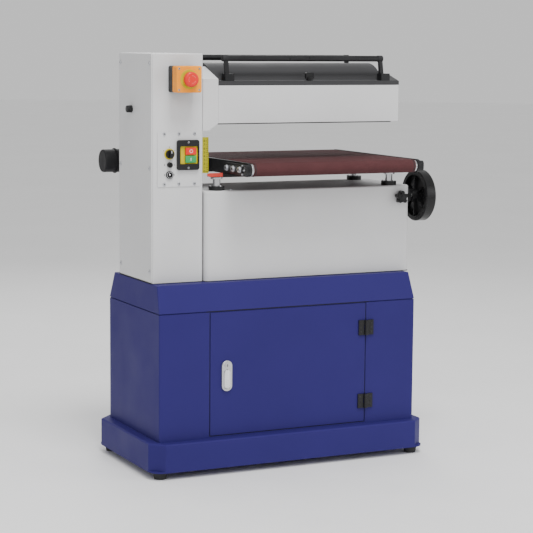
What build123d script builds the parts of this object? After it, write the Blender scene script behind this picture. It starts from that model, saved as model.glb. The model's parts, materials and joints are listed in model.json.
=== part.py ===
from build123d import *
import math
import os

# Drum sander. Millimetres, +Z up, front towards -Y. The model's origin is on the floor, under the
# middle of the whole machine. Sizes below are measured from the cabinet's left side (x) and from the
# machine's middle plane (y), and at() moves them into the model's frame.
LEFT = -401.5
MIDDLE = -8.5

# cabinet and plinth
CAB_W = 760.0
CAB_HALF_D = 180.0
CAB_Z0 = 95.0
CAB_Z1 = 430.0
HOOD_Z0 = 433.0
HOOD_Z1 = 503.0
HOOD_IN_X = 5.0
HOOD_IN_Y = 26.0
PLINTH_OUT = 28.0
PLINTH_Z0 = 19.5
PLINTH_CHAMFER = 35.0
SHEET = 2.5
DOOR_X = (144.5, 606.0)
DOOR_Z = (101.5, 428.5)
DOOR_GAP = 2.5

# column
COL_X = (7.5, 149.5)
COL_HALF_D = 115.5
COL_Z1 = 1100.0

# lift housing, posts and handwheel
HOUSE_X = (153.0, 771.5)
HOUSE_HALF_D = 124.0
HOUSE_Z1 = 742.0
HOUSE_WALL = 3.0
SHELF_Z = (615.0, 623.0)
POST_X = (196.0, 718.0)
POST_Y = (-100.0, 100.0)
POST_R = 10.0
POST_Z = (508.0, 777.0)
NUT_BORE_R = 10.3
SPROCKET_R = 17.0
CHAIN_Z = (632.0, 637.0)
WHEEL_Z = 710.0
WHEEL_X = (800.0, 831.0)
WHEEL_R = 71.0
SHAFT_R = 8.0
GEAR_FAR = 17.0
GEAR_NEAR = 12.0
GEAR_GAP = 0.4

# feed table
BELT_X = (237.0, 717.0)
ROLLER_Y = 231.0
ROLLER_Z = 803.0
ROLLER_R = 15.7
BELT_IN_R = 16.0
BELT_OUT_R = 17.5
PLATE_T = 8.0
PLATE_LEFT = 222.0
PLATE_RIGHT = 724.0
PLATE_R = 18.0
BAR_Z = (777.0, 785.0)

# head, drum and lid
HEAD_X = (193.0, 737.0)
HEAD_Z = (918.5, 1017.0)
HEAD_WALL = 4.0
DRUM_Z = 980.0
DRUM_R = 61.0
WRAP_R = 63.5
DRUM_X = (222.0, 697.0)
DRUM_SHAFT_R = 15.0
PRESS_Y = 88.0
PRESS_Z = 927.0
PRESS_R = 12.5
LID_Z0 = 1017.5
LID_LIP_Z = 1028.0
LID_SHELF_Z = 1031.0
LID_ARC_R = 95.0
LID_T = 2.5
LID_PIVOT = (121.5, 1020.0)
LID_HINGE_X = (270.0, 640.0)
RAIL_X = (213.0, 692.0)
RAIL_Y = 96.0
RAIL_Z = 1088.0
RAIL_R = 8.0

# drum drive
MOTOR_Z = 215.0
PULLEY_X = (30.0, 58.0)
DRUM_PULLEY_R = 45.0
MOTOR_PULLEY_R = 35.0
MOTOR_SHAFT_R = 12.0
MOTOR_SHAFT_END = 110.0
BELT_T = 6.0

# door hinges
HINGE_AXIS = (607.25, -186.0)
HINGE_Z = ((139.0, 178.0), (341.0, 382.0))


def at(x, y, z):
    """A point of the machine in the model's frame."""
    return (LEFT + x, MIDDLE + y, z)


TOP = Plane(at(0, 0, 0))
SIDE = Plane(at(0, 0, 0), x_dir=(0, 1, 0), z_dir=(1, 0, 0))
FRONT = Plane(at(0, 0, 0), x_dir=(1, 0, 0), z_dir=(0, -1, 0))


def block(xs, ys, zs, mode=Mode.ADD):
    """A box between two x, two y and two z stations."""
    middle = [(pair[0] + pair[1]) / 2 for pair in (xs, ys, zs)]
    size = [pair[1] - pair[0] for pair in (xs, ys, zs)]
    with Locations(at(*middle)):
        Box(*size, mode=mode)


def bar(start, direction, length, radius, mode=Mode.ADD, end_radius=None):
    """A round bar, or a cone if end_radius is given, from a point along a direction."""
    with Locations(Plane(at(*start), z_dir=direction)):
        if end_radius is None:
            Cylinder(radius, length, align=(Align.CENTER, Align.CENTER, Align.MIN), mode=mode)
        else:
            Cone(radius, end_radius, length, align=(Align.CENTER, Align.CENTER, Align.MIN), mode=mode)


def bar_x(x0, x1, y, z, radius, mode=Mode.ADD):
    bar((x0, y, z), (1, 0, 0), x1 - x0, radius, mode)


def bar_y(y0, y1, x, z, radius, mode=Mode.ADD):
    bar((x, y0, z), (0, 1, 0), y1 - y0, radius, mode)


def bar_z(z0, z1, x, y, radius, mode=Mode.ADD):
    bar((x, y, z0), (0, 0, 1), z1 - z0, radius, mode)


def plate_front(x, z, width, height, y0, y1, corner, mode=Mode.ADD):
    """A rounded plate that faces the front, from y0 at its front to y1 at its back."""
    with BuildSketch(FRONT.offset(-y1)) as outline:
        with Locations((x, z)):
            RectangleRounded(width, height, corner)
    extrude(outline.sketch, amount=y1 - y0, mode=mode)


def save(piece, label):
    piece.part.label = label
    export_step(piece.part, f"parts/{label}.step")


os.makedirs("parts", exist_ok=True)

# ---------------------------------------------------------------- base

FOOT_INSET = 32.0
FOOT_X = (-PLINTH_OUT + FOOT_INSET, CAB_W + PLINTH_OUT - FOOT_INSET)
FOOT_Y = (-CAB_HALF_D - PLINTH_OUT + FOOT_INSET, CAB_HALF_D + PLINTH_OUT - FOOT_INSET)
with BuildPart() as rubber_feet:
    for foot_x in FOOT_X:
        for foot_y in FOOT_Y:
            bar((foot_x, foot_y, 0), (0, 0, 1), PLINTH_Z0, 15.5, end_radius=20.0)
            bar_z(0, 4, foot_x, foot_y, 5, Mode.SUBTRACT)
save(rubber_feet, "rubber_feet")

with BuildPart() as plinth:
    with BuildSketch(TOP.offset(PLINTH_Z0)):
        with Locations((CAB_W / 2, 0)):
            Rectangle(CAB_W + 2 * PLINTH_OUT, 2 * (CAB_HALF_D + PLINTH_OUT))
    extrude(amount=CAB_Z0 - PLINTH_Z0)
    chamfer(plinth.edges().filter_by(Axis.Z), PLINTH_CHAMFER)
    fillet(plinth.faces().sort_by(Axis.Z)[-1].edges(), 5)
    offset(amount=-SHEET, openings=plinth.faces().sort_by(Axis.Z)[0])
    # inward flange that the feet are screwed to
    with BuildSketch(TOP.offset(PLINTH_Z0)):
        with Locations((CAB_W / 2, 0)):
            RectangleRounded(CAB_W + 2 * PLINTH_OUT - 3, 2 * (CAB_HALF_D + PLINTH_OUT) - 3, PLINTH_CHAMFER - 4)
            Rectangle(CAB_W + 2 * PLINTH_OUT - 130, 2 * (CAB_HALF_D + PLINTH_OUT) - 130, mode=Mode.SUBTRACT)
    extrude(amount=4)
save(plinth, "plinth")

with BuildPart() as cabinet_shell:
    block((0, CAB_W), (-CAB_HALF_D, CAB_HALF_D), (CAB_Z0, CAB_Z1))
    fillet(cabinet_shell.edges().filter_by(Axis.Z), 4)
    block(
        (SHEET, CAB_W - SHEET),
        (-CAB_HALF_D + SHEET, CAB_HALF_D - SHEET),
        (CAB_Z0 + SHEET, CAB_Z1 - SHEET),
        Mode.SUBTRACT,
    )
    block(
        (3, CAB_W - 3),
        (-CAB_HALF_D + 3, CAB_HALF_D - 3),
        (CAB_Z1, HOOD_Z0),
    )
    block(
        (20, CAB_W - 20),
        (-CAB_HALF_D + 20, CAB_HALF_D - 20),
        (CAB_Z1 - SHEET, HOOD_Z0),
        Mode.SUBTRACT,
    )
    block(
        (DOOR_X[0] - DOOR_GAP, DOOR_X[1] + DOOR_GAP),
        (-CAB_HALF_D, -CAB_HALF_D + SHEET),
        (DOOR_Z[0] - DOOR_GAP, CAB_Z1),
        Mode.SUBTRACT,
    )
    # stiffening folds beside the doorway
    block((128, 142), (-CAB_HALF_D + SHEET, -CAB_HALF_D + 5), (DOOR_Z[0], 420))
    block((611, 625), (-CAB_HALF_D + SHEET, -CAB_HALF_D + 5), (DOOR_Z[0], 420))
    # cable gland hole and ventilation slots in the back
    bar_y(CAB_HALF_D - SHEET, CAB_HALF_D, 60, 150, 8, Mode.SUBTRACT)
    for vent in range(6):
        block(
            (250, 330),
            (CAB_HALF_D - SHEET, CAB_HALF_D),
            (180 + 14 * vent, 185 + 14 * vent),
            Mode.SUBTRACT,
        )
save(cabinet_shell, "cabinet_shell")


def hood_outline(height, inset):
    """The hood's outline at a height, drawn in by an inset."""
    share = (height - HOOD_Z0) / (HOOD_Z1 - HOOD_Z0)
    with BuildSketch(TOP.offset(height)) as outline:
        with Locations((CAB_W / 2, 0)):
            Rectangle(
                CAB_W - 2 * (HOOD_IN_X * share + inset),
                2 * (CAB_HALF_D - HOOD_IN_Y * share - inset),
            )
    return outline.sketch


with BuildPart() as cabinet_hood:
    loft([hood_outline(HOOD_Z0, 0), hood_outline(HOOD_Z1, 0)])
    top_edges = cabinet_hood.faces().sort_by(Axis.Z)[-1].edges()
    corner_edges = cabinet_hood.edges().filter_by(lambda e: abs(e.tangent_at(0.5).Z) > 0.5)
    fillet(top_edges + corner_edges, 3)
    inner_sections = [hood_outline(HOOD_Z0, SHEET), hood_outline(HOOD_Z1 - SHEET, SHEET)]
    loft(inner_sections, mode=Mode.SUBTRACT)
    block((22, 75), (-70, 70), (HOOD_Z1 - 10, HOOD_Z1), Mode.SUBTRACT)
save(cabinet_hood, "cabinet_hood")

with BuildPart() as cabinet_door:
    block(DOOR_X, (-CAB_HALF_D, -CAB_HALF_D + 2), DOOR_Z)
    fillet(cabinet_door.edges().filter_by(Axis.Y), 2)
    block(
        (DOOR_X[0] + 3, DOOR_X[1] - 3),
        (-CAB_HALF_D + 2, -CAB_HALF_D + 16),
        (DOOR_Z[0] + 3, DOOR_Z[1] - 4),
    )
    block(
        (DOOR_X[0] + 5, DOOR_X[1] - 5),
        (-CAB_HALF_D + 2, -CAB_HALF_D + 16),
        (DOOR_Z[0] + 5, DOOR_Z[1] - 6),
        Mode.SUBTRACT,
    )
    block((230, 520), (-CAB_HALF_D + 2, -CAB_HALF_D + 12), (260, 264))
save(cabinet_door, "cabinet_door")

# Each door hinge has three knuckles: the middle one is on the cabinet, the outer two on the door.
KNUCKLE_R = 5.0
PIN_R = 2.5
PIN_CLEAR = 0.08
HINGE_PLAY = 0.3


def knuckle_spans(low, high):
    third = (high - low) / 3
    middle = (low + third + HINGE_PLAY, high - third - HINGE_PLAY)
    return (low, low + third), middle, (high - third, high)


with BuildPart() as door_leaves:
    for low, high in HINGE_Z:
        lower, middle, upper = knuckle_spans(low, high)
        block((585, 601), (-184, -CAB_HALF_D), (low, high))
        for span in (lower, upper):
            block((600, HINGE_AXIS[0]), (-184, -181), span)
            bar_z(*span, *HINGE_AXIS, KNUCKLE_R)
            bar_z(*span, *HINGE_AXIS, PIN_R + PIN_CLEAR, Mode.SUBTRACT)
save(door_leaves, "door_leaves")

LATCH_X = 191.0
LATCH_Z = 259.0
# The paddle is hinged at its lower end, just in front of its face, and is pulled out at its upper end.
PADDLE_PIVOT = (-CAB_HALF_D - 7.2, LATCH_Z - 33.0)
with BuildPart() as latch_body:
    with BuildSketch(FRONT.offset(CAB_HALF_D)):
        with Locations((LATCH_X, LATCH_Z)):
            SlotOverall(82, 30, rotation=90)
    extrude(amount=5)
    fillet(latch_body.faces().sort_by(Axis.Y)[0].edges(), 1.5)
    with BuildSketch(FRONT.offset(CAB_HALF_D + 1.5)):
        with Locations((LATCH_X, LATCH_Z - 8)):
            SlotOverall(50.6, 18.6, rotation=90)
    extrude(amount=4, mode=Mode.SUBTRACT)
    bar_y(-CAB_HALF_D - 6.5, -CAB_HALF_D - 4, LATCH_X, LATCH_Z + 28, 7.5)
    block(
        (LATCH_X - 5, LATCH_X + 5),
        (-CAB_HALF_D - 6.5, -CAB_HALF_D - 5.5),
        (LATCH_Z + 27.4, LATCH_Z + 28.6),
        Mode.SUBTRACT,
    )
    for post_x in (LATCH_X - 6.5, LATCH_X + 6.5):
        block((post_x - 1, post_x + 1), (PADDLE_PIVOT[0] - 1.2, -CAB_HALF_D - 4), (PADDLE_PIVOT[1] - 1.2, PADDLE_PIVOT[1] + 1))
    bar_x(LATCH_X - 7, LATCH_X + 7, *PADDLE_PIVOT, 0.9)
save(latch_body, "latch_body")

with BuildPart() as latch_paddle:
    with BuildSketch(FRONT.offset(CAB_HALF_D + 1.9)):
        with Locations((LATCH_X, LATCH_Z - 8)):
            SlotOverall(50, 18, rotation=90)
    extrude(amount=5)
    fillet(latch_paddle.faces().sort_by(Axis.Y)[0].edges(), 0.8)
    bar_x(LATCH_X - 3.5, LATCH_X + 3.5, *PADDLE_PIVOT, 1.8)
    bar_x(LATCH_X - 4, LATCH_X + 4, *PADDLE_PIVOT, 0.9 + PIN_CLEAR, Mode.SUBTRACT)
save(latch_paddle, "latch_paddle")

# ---------------------------------------------------------------- column

COL_Z0 = HOOD_Z1
with BuildPart() as column_shell:
    block(COL_X, (-COL_HALF_D, COL_HALF_D), (COL_Z0, COL_Z1))
    fillet(column_shell.edges().filter_by(Axis.Z), 4)
    fillet(column_shell.faces().sort_by(Axis.Z)[-1].edges(), 3)
    block(
        (COL_X[0] + SHEET, COL_X[1] - SHEET),
        (-COL_HALF_D + SHEET, COL_HALF_D - SHEET),
        (COL_Z0, COL_Z1 - SHEET),
        Mode.SUBTRACT,
    )
    block(
        (COL_X[0], COL_X[0] + SHEET),
        (-COL_HALF_D + 20, COL_HALF_D - 20),
        (COL_Z0 + 20, COL_Z1 - 20),
        Mode.SUBTRACT,
    )
    bar_x(COL_X[1] - SHEET, COL_X[1], 0, DRUM_Z, 22, Mode.SUBTRACT)
    # switch cut-out behind the control panel
    block((82, 128), (-COL_HALF_D, -COL_HALF_D + SHEET), (806, 870), Mode.SUBTRACT)
save(column_shell, "column_shell")

COVER_KNOB = (23.0, 953.0)
with BuildPart() as side_cover:
    block((5, COL_X[0]), (-COL_HALF_D + 1, COL_HALF_D - 1), (COL_Z0 + 4, COL_Z1 - 2))
    fillet(side_cover.edges().filter_by(Axis.X), 3)
    bar_x(5, COL_X[0], *COVER_KNOB, 3.3, Mode.SUBTRACT)
save(side_cover, "side_cover")

with BuildPart() as cover_knob:
    bar_x(-10, 4.7, *COVER_KNOB, 9.5)
    fillet(cover_knob.faces().sort_by(Axis.X)[0].edges(), 2.5)
    with BuildSketch(SIDE.offset(-10)):
        with Locations(COVER_KNOB):
            with PolarLocations(10.6, 16):
                Circle(1.5)
    extrude(amount=11, mode=Mode.SUBTRACT)
    bar_x(4.7, 14, *COVER_KNOB, 3)
save(cover_knob, "cover_knob")

PANEL_X = (21.0, 142.0)
PANEL_Z = (756.0, 899.0)
PANEL_Y = -COL_HALF_D - 2
with BuildPart() as control_panel:
    plate_front(
        sum(PANEL_X) / 2,
        sum(PANEL_Z) / 2,
        PANEL_X[1] - PANEL_X[0],
        PANEL_Z[1] - PANEL_Z[0],
        PANEL_Y,
        -COL_HALF_D,
        3,
    )
save(control_panel, "control_panel")

SWITCH_X = 105.0
SWITCH_Z = 838.0
with BuildPart() as switch_frame:
    plate_front(SWITCH_X, SWITCH_Z, 62, 78, PANEL_Y - 8, PANEL_Y, 6)
    fillet(switch_frame.faces().sort_by(Axis.Y)[0].edges(), 1.2)
    plate_front(107.25, 837.5, 50.5, 47, PANEL_Y - 8, PANEL_Y - 3, 2, Mode.SUBTRACT)
save(switch_frame, "switch_frame")

BUTTON_X = 111.0
with BuildPart() as stop_button:
    plate_front(BUTTON_X, 848, 30, 18, PANEL_Y - 10.5, PANEL_Y - 5.8, 2)
    fillet(stop_button.faces().sort_by(Axis.Y)[0].edges(), 1.5)
save(stop_button, "stop_button")

with BuildPart() as start_button:
    plate_front(BUTTON_X, 827, 30, 18, PANEL_Y - 9.5, PANEL_Y - 5.8, 2)
    fillet(start_button.faces().sort_by(Axis.Y)[0].edges(), 1.2)
save(start_button, "start_button")

MODE_X = 54.0
MODE_Z = 841.0
with BuildPart() as mode_switch:
    bar_y(PANEL_Y - 8, PANEL_Y - 1.5, MODE_X, MODE_Z, 11)
    block((MODE_X - 3.5, MODE_X + 3.5), (PANEL_Y - 17, PANEL_Y - 7), (MODE_Z - 11, MODE_Z + 11))
    fillet(mode_switch.faces().sort_by(Axis.Y)[0].edges(), 1.5)
save(mode_switch, "mode_switch")

FUSE_Z = 813.0
SOCKET_Z = 787.0
with BuildPart() as panel_fittings:
    bar_y(PANEL_Y - 8, PANEL_Y, MODE_X, FUSE_Z, 7)
    block((MODE_X - 5, MODE_X + 5), (PANEL_Y - 8, PANEL_Y - 6.8), (FUSE_Z - 0.8, FUSE_Z + 0.8), Mode.SUBTRACT)
    bar_y(PANEL_Y - 4.5, PANEL_Y, MODE_X, SOCKET_Z, 10)
    bar_y(PANEL_Y - 4.5, PANEL_Y - 1, MODE_X, SOCKET_Z, 6.5, Mode.SUBTRACT)
    bar_y(PANEL_Y - 3.5, PANEL_Y - 1, MODE_X, SOCKET_Z, 4)
save(panel_fittings, "panel_fittings")

ESTOP_X = 87.0
ESTOP_Z = 1034.5
ESTOP_W = 70.0
ESTOP_H = 68.0
ESTOP_SEAM = -COL_HALF_D - 28
ESTOP_FRONT = ESTOP_SEAM - 27
with BuildPart() as estop_base:
    plate_front(ESTOP_X, ESTOP_Z, ESTOP_W, ESTOP_H, ESTOP_SEAM, -COL_HALF_D, 5)
    plate_front(ESTOP_X, ESTOP_Z, ESTOP_W - 6, ESTOP_H - 6, ESTOP_SEAM, -COL_HALF_D - 3, 3, Mode.SUBTRACT)
save(estop_base, "estop_base")

with BuildPart() as estop_cover:
    plate_front(ESTOP_X, ESTOP_Z, ESTOP_W, ESTOP_H, ESTOP_FRONT, ESTOP_SEAM, 5)
    fillet(estop_cover.faces().sort_by(Axis.Y)[0].edges(), 2)
    plate_front(ESTOP_X, ESTOP_Z, ESTOP_W - 6, ESTOP_H - 6, ESTOP_FRONT + 3, ESTOP_SEAM, 3, Mode.SUBTRACT)
    bar_y(ESTOP_FRONT, ESTOP_FRONT + 3, ESTOP_X, ESTOP_Z, 8.3, Mode.SUBTRACT)
save(estop_cover, "estop_cover")

with BuildPart() as estop_button:
    bar_y(ESTOP_FRONT - 20, ESTOP_FRONT - 9, ESTOP_X, ESTOP_Z, 19.5)
    fillet(estop_button.faces().sort_by(Axis.Y)[0].edges(), 6)
    bar_y(ESTOP_FRONT - 9, ESTOP_FRONT + 20, ESTOP_X, ESTOP_Z, 8)
save(estop_button, "estop_button")

SCALE_Z = (789.0, 883.0)
with BuildPart() as thickness_scale:
    block((COL_X[1], 167), (-113, -111.5), SCALE_Z)
    block((COL_X[1], COL_X[1] + 1.5), (-111.5, -96), SCALE_Z)
save(thickness_scale, "thickness_scale")

with BuildPart() as cable_gland:
    bar_y(CAB_HALF_D, CAB_HALF_D + 6, 60, 150, 13)
    with BuildSketch(FRONT.offset(-CAB_HALF_D - 16)):
        with Locations((60, 150)):
            RegularPolygon(11, 6)
    extrude(amount=10)
    bar_y(CAB_HALF_D - 12, CAB_HALF_D, 60, 150, 8)
    bar_y(CAB_HALF_D - 12, CAB_HALF_D + 16, 60, 150, 5.5, Mode.SUBTRACT)
save(cable_gland, "cable_gland")

# ---------------------------------------------------------------- lift housing and lift drive

KNOB_X = 738.0
with BuildPart() as lift_housing:
    block(HOUSE_X, (-HOUSE_HALF_D, HOUSE_HALF_D), (HOOD_Z1, HOUSE_Z1))
    fillet(lift_housing.edges().filter_by(Axis.Z), 12)
    fillet(lift_housing.faces().sort_by(Axis.Z)[-1].edges(), 5)
    offset(amount=-HOUSE_WALL, openings=lift_housing.faces().sort_by(Axis.Z)[0])
    with BuildSketch(TOP.offset(SHELF_Z[0])):
        with Locations((sum(HOUSE_X) / 2, 0)):
            RectangleRounded(HOUSE_X[1] - HOUSE_X[0] - 5, 2 * HOUSE_HALF_D - 5, 10)
    extrude(amount=SHELF_Z[1] - SHELF_Z[0])
    block((300, 620), (-60, 60), SHELF_Z, Mode.SUBTRACT)
    for post_x in POST_X:
        for post_y in POST_Y:
            bar_z(SHELF_Z[0], HOUSE_Z1, post_x, post_y, 12, Mode.SUBTRACT)
            bar_z(HOUSE_Z1 - HOUSE_WALL - 1, HOUSE_Z1, post_x, post_y, 13, Mode.SUBTRACT)
    bar_x(HOUSE_X[1] - HOUSE_WALL - 1, HOUSE_X[1], POST_Y[0], WHEEL_Z, 11, Mode.SUBTRACT)
    bar_y(-HOUSE_HALF_D, -HOUSE_HALF_D + HOUSE_WALL + 1, KNOB_X, WHEEL_Z, 4.5, Mode.SUBTRACT)
save(lift_housing, "lift_housing")

FLANGE_R = 21.0
with BuildPart() as guide_flanges:
    for post_x in POST_X:
        for post_y in POST_Y:
            bar_z(HOUSE_Z1, HOUSE_Z1 + 11, post_x, post_y, FLANGE_R)
            bar_z(HOUSE_Z1 - 14, HOUSE_Z1, post_x, post_y, 12.5)
            bar_z(HOUSE_Z1 - 14, HOUSE_Z1 + 11, post_x, post_y, POST_R + PIN_CLEAR, Mode.SUBTRACT)
save(guide_flanges, "guide_flanges")

with BuildPart() as lift_posts:
    for post_x in POST_X:
        for post_y in POST_Y:
            bar_z(*POST_Z, post_x, post_y, POST_R)
            bar_z(POST_Z[1] - 5, POST_Z[1], post_x, post_y, 16)
save(lift_posts, "lift_posts")


def sprocket_nut(post_x, post_y, with_gear):
    """A nut that turns on its post, with a chain sprocket and, on one post, a mitre gear."""
    with BuildPart() as nut:
        top_z = WHEEL_Z - GEAR_FAR if with_gear else 650
        bar_z(SHELF_Z[1] + HINGE_PLAY, top_z, post_x, post_y, 14)
        bar_z(CHAIN_Z[0] - 0.5, CHAIN_Z[1] + 0.5, post_x, post_y, SPROCKET_R)
        with BuildSketch(TOP.offset(CHAIN_Z[0] - 0.5)):
            with Locations((post_x, post_y)):
                with PolarLocations(SPROCKET_R + 0.5, 12):
                    Circle(1.8)
        extrude(amount=CHAIN_Z[1] - CHAIN_Z[0] + 1, mode=Mode.SUBTRACT)
        if with_gear:
            gear_base = WHEEL_Z - GEAR_FAR
            bar_z(gear_base - 6, gear_base, post_x, post_y, GEAR_FAR - GEAR_GAP)
            bar(
                (post_x, post_y, gear_base),
                (0, 0, 1),
                GEAR_FAR - GEAR_NEAR,
                GEAR_FAR - GEAR_GAP,
                end_radius=GEAR_NEAR - GEAR_GAP,
            )
        bar_z(SHELF_Z[1], WHEEL_Z, post_x, post_y, NUT_BORE_R, Mode.SUBTRACT)
    return nut


for nut_name, nut_x, nut_y, geared in (
    ("lift_nut_front_left", POST_X[0], POST_Y[0], False),
    ("lift_nut_front_right", POST_X[1], POST_Y[0], True),
    ("lift_nut_rear_left", POST_X[0], POST_Y[1], False),
    ("lift_nut_rear_right", POST_X[1], POST_Y[1], False),
):
    save(sprocket_nut(nut_x, nut_y, geared), nut_name)

with BuildPart() as lift_chain:
    for radius, loop_mode in ((SPROCKET_R + 3.4, Mode.ADD), (SPROCKET_R + 0.4, Mode.SUBTRACT)):
        with BuildSketch(TOP.offset(CHAIN_Z[0])):
            for post_x in POST_X:
                with Locations((post_x, POST_Y[0]), (post_x, POST_Y[1])):
                    Circle(radius)
            make_hull()
        extrude(amount=CHAIN_Z[1] - CHAIN_Z[0], mode=loop_mode)
save(lift_chain, "lift_chain")

WHEEL_Y = POST_Y[0]
GEAR_X = POST_X[1] + GEAR_FAR
HUB_END = 815.0
with BuildPart() as handwheel_shaft:
    bar(
        (POST_X[1] + GEAR_NEAR, WHEEL_Y, WHEEL_Z),
        (1, 0, 0),
        GEAR_FAR - GEAR_NEAR,
        GEAR_NEAR - GEAR_GAP,
        end_radius=GEAR_FAR - GEAR_GAP,
    )
    bar_x(GEAR_X, GEAR_X + 10, WHEEL_Y, WHEEL_Z, GEAR_FAR - GEAR_GAP)
    bar_x(GEAR_X + 10, HUB_END, WHEEL_Y, WHEEL_Z, SHAFT_R)
save(handwheel_shaft, "handwheel_shaft")

GRIP_PIVOT = (824.0, WHEEL_Y - 46.0)
GRIP_R = 7.0
with BuildPart() as handwheel:
    with BuildSketch(Plane(at(0, WHEEL_Y, WHEEL_Z), x_dir=(1, 0, 0), z_dir=(0, -1, 0))):
        with BuildLine():
            Polyline(
                (788, SHAFT_R),
                (788, 16),
                (804, 18),
                (810, 55),
                (WHEEL_X[0], 58),
                (WHEEL_X[0], WHEEL_R - 2),
                (WHEEL_X[0] + 2, WHEEL_R),
                (WHEEL_X[1] - 4, WHEEL_R),
                (WHEEL_X[1], WHEEL_R - 4),
                (WHEEL_X[1], 60),
                (815, 57),
                (811, 20),
                (HUB_END, 16),
                (HUB_END, SHAFT_R),
                close=True,
            )
        make_face()
    revolve(axis=Axis(at(0, WHEEL_Y, WHEEL_Z), (1, 0, 0)))
    # ribs of the web, towards the machine
    for rib in range(6):
        turn = math.radians(30 + 60 * rib)
        middle_y = WHEEL_Y + 35 * math.cos(turn)
        middle_z = WHEEL_Z + 35 * math.sin(turn)
        with Locations(Location(at(804, middle_y, middle_z), (30 + 60 * rib, 0, 0))):
            Box(9, 38, 4)
    # ears that carry the fold-away grip, and the pin between them
    for ear_z in ((WHEEL_Z - 12, WHEEL_Z - 7.6), (WHEEL_Z + 7.6, WHEEL_Z + 12)):
        block((812, 831), (GRIP_PIVOT[1] - 8, GRIP_PIVOT[1] + 7), ear_z)
    bar((GRIP_PIVOT[0], GRIP_PIVOT[1], WHEEL_Z - 8), (0, 0, 1), 16, 3)
save(handwheel, "handwheel")

GRIP_LENGTH = 48.0
with BuildPart() as handwheel_grip:
    bar_z(WHEEL_Z - 7.3, WHEEL_Z + 7.3, *GRIP_PIVOT, 5.5)
    bar((GRIP_PIVOT[0], GRIP_PIVOT[1] + 3, WHEEL_Z), (0, 1, 0), 7, 5)
    bar(
        (GRIP_PIVOT[0], GRIP_PIVOT[1] + 8, WHEEL_Z),
        (0, 1, 0),
        GRIP_LENGTH - 8,
        GRIP_R - 1.2,
        end_radius=GRIP_R,
    )
    fillet(handwheel_grip.faces().sort_by(Axis.Y)[-1].edges(), 3)
    bar_z(WHEEL_Z - 8, WHEEL_Z + 8, *GRIP_PIVOT, 3 + PIN_CLEAR, Mode.SUBTRACT)
save(handwheel_grip, "handwheel_grip")

with BuildPart() as lock_knob:
    with BuildSketch(FRONT.offset(HOUSE_HALF_D + 6)):
        with Locations((KNOB_X, WHEEL_Z)):
            Circle(12)
            with PolarLocations(12.5, 5, start_angle=90):
                Circle(5.5)
    extrude(amount=18)
    fillet(lock_knob.faces().sort_by(Axis.Y)[0].edges(), 2)
    bar_y(-HOUSE_HALF_D - 6, -HOUSE_HALF_D - 0.4, KNOB_X, WHEEL_Z, 8)
    bar_y(-HOUSE_HALF_D - 0.4, WHEEL_Y - GEAR_FAR - 0.3, KNOB_X, WHEEL_Z, 4)
save(lock_knob, "lock_knob")

# ---------------------------------------------------------------- feed table


def racetrack(radius, plane):
    """A loop round the two roller axes, drawn on the side plane."""
    with BuildSketch(plane) as outline:
        with Locations((0, ROLLER_Z)):
            SlotOverall(2 * (ROLLER_Y + radius), 2 * radius)
    return outline.sketch


with BuildPart() as table_frame:
    for plate_x in (PLATE_LEFT, PLATE_RIGHT):
        extrude(racetrack(PLATE_R, SIDE.offset(plate_x)), amount=PLATE_T)
        for side_y in (-ROLLER_Y, ROLLER_Y):
            bar_x(plate_x, plate_x + PLATE_T, side_y, ROLLER_Z, SHAFT_R + PIN_CLEAR, Mode.SUBTRACT)
    for post_y in POST_Y:
        block((178, 736), (post_y - 20, post_y + 20), BAR_Z)
save(table_frame, "table_frame")

with BuildPart() as table_bed:
    bed_x = (PLATE_LEFT + PLATE_T, PLATE_RIGHT)
    block(bed_x, (-205, 205), (812, 818.5))
    for rib_y in (-200, -100, 0, 100, 200):
        block(bed_x, (rib_y - 5, rib_y + 5), (790, 812))
save(table_bed, "table_bed")

with BuildPart() as feed_belt:
    for radius, loop_mode in ((BELT_OUT_R, Mode.ADD), (BELT_IN_R, Mode.SUBTRACT)):
        loop = racetrack(radius, SIDE.offset(BELT_X[0]))
        extrude(loop, amount=BELT_X[1] - BELT_X[0], mode=loop_mode)
save(feed_belt, "feed_belt")

ROLLER_X = (PLATE_LEFT + PLATE_T + 1, PLATE_RIGHT - 1)
with BuildPart() as front_roller:
    bar_x(*ROLLER_X, -ROLLER_Y, ROLLER_Z, ROLLER_R)
    fillet(front_roller.edges().filter_by(GeomType.CIRCLE), 1)
    bar_x(PLATE_LEFT - 6, PLATE_RIGHT + PLATE_T + 6, -ROLLER_Y, ROLLER_Z, SHAFT_R)
save(front_roller, "front_roller")

with BuildPart() as drive_roller:
    bar_x(*ROLLER_X, ROLLER_Y, ROLLER_Z, ROLLER_R)
    fillet(drive_roller.edges().filter_by(GeomType.CIRCLE), 1)
    bar_x(200, PLATE_RIGHT + PLATE_T + 6, ROLLER_Y, ROLLER_Z, SHAFT_R)
save(drive_roller, "drive_roller")

BLOCK_T = 10.0
BLOCK_SPOTS = (
    (PLATE_LEFT - BLOCK_T, (-247, -112), -ROLLER_Y),
    (PLATE_RIGHT + PLATE_T, (-247, -112), -ROLLER_Y),
    (PLATE_RIGHT + PLATE_T, (196, 247), ROLLER_Y),
)
with BuildPart() as roller_blocks:
    for block_x, block_y, axle_y in BLOCK_SPOTS:
        block((block_x, block_x + BLOCK_T), block_y, (789, 817))
    fillet(roller_blocks.edges().filter_by(Axis.X), 8)
    for block_x, block_y, axle_y in BLOCK_SPOTS:
        bar_x(block_x, block_x + BLOCK_T, axle_y, ROLLER_Z, SHAFT_R + PIN_CLEAR, Mode.SUBTRACT)
save(roller_blocks, "roller_blocks")

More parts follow.
